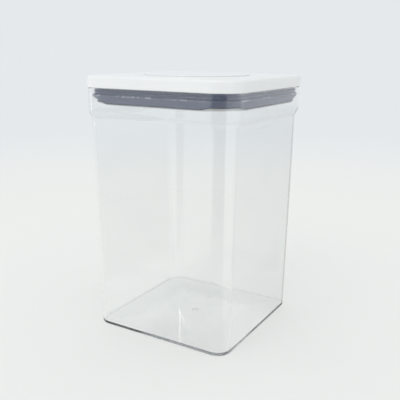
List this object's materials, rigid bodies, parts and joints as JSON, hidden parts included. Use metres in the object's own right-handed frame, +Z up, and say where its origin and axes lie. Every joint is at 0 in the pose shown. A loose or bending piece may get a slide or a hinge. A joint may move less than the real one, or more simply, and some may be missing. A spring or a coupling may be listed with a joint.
{
  "type": "storage canister",
  "caption": "Tall square clear canister with round corners and a white lid whose round push button expands a soft grey seal inside the mouth.",
  "frame": {"origin": "centre of the canister's foot, on the surface that it stands on", "axes": "+Z up through the mouth and the button, -Y towards the front face, +X to the right seen from the front"},
  "size_m": [0.1588, 0.1588, 0.242],
  "materials": {
    "clear_plastic": "clear, polished, lightly scuffed",
    "white_plastic": "satin gloss moulded",
    "grey_silicone": "soft matte silicone",
    "natural_plastic": "natural slippery moulded plastic",
    "steel": "drawn wire and plated screws"
  },
  "bodies": {
    "canister": {"canister_body": "clear_plastic"},
    "lid": {"lid_cover": "white_plastic", "seal_carrier": "white_plastic", "closing_plate": "white_plastic", "gasket": "grey_silicone", "pop_spring": "steel", "latch_wire": "steel", "cover_screw_1": "steel", "cover_screw_2": "steel", "cover_screw_3": "steel", "cover_screw_4": "steel"},
    "button": {"button_cap": "white_plastic", "latch_post": "natural_plastic", "post_screw": "steel"},
    "front_pusher": {"pusher_front": "natural_plastic"},
    "right_pusher": {"pusher_right": "natural_plastic"},
    "back_pusher": {"pusher_back": "natural_plastic"},
    "left_pusher": {"pusher_left": "natural_plastic"}
  },
  "joints": [
    {"name": "lid_lift", "type": "slide", "parent": "canister", "child": "lid", "axis": [0, 0, 1], "range_m": [0, 0.05]},
    {"name": "button_pop", "type": "slide", "parent": "lid", "child": "button", "axis": [0, 0, 1], "range_m": [0, 0.012], "deforming": ["pop_spring", "latch_wire"]},
    {"name": "front_pusher_slide", "type": "slide", "parent": "lid", "child": "front_pusher", "axis": [0, -1, 0], "range_m": [-0.0015, 0]},
    {"name": "right_pusher_slide", "type": "slide", "parent": "lid", "child": "right_pusher", "axis": [1, 0, 0], "range_m": [-0.0015, 0]},
    {"name": "back_pusher_slide", "type": "slide", "parent": "lid", "child": "back_pusher", "axis": [0, 1, 0], "range_m": [-0.0015, 0]},
    {"name": "left_pusher_slide", "type": "slide", "parent": "lid", "child": "left_pusher", "axis": [-1, 0, 0], "range_m": [-0.0015, 0]}
  ],
  "couplings": [
    {"joint": "front_pusher_slide", "follows": "button_pop", "ratio": -0.125},
    {"joint": "right_pusher_slide", "follows": "button_pop", "ratio": -0.125},
    {"joint": "back_pusher_slide", "follows": "button_pop", "ratio": -0.125},
    {"joint": "left_pusher_slide", "follows": "button_pop", "ratio": -0.125}
  ]
}
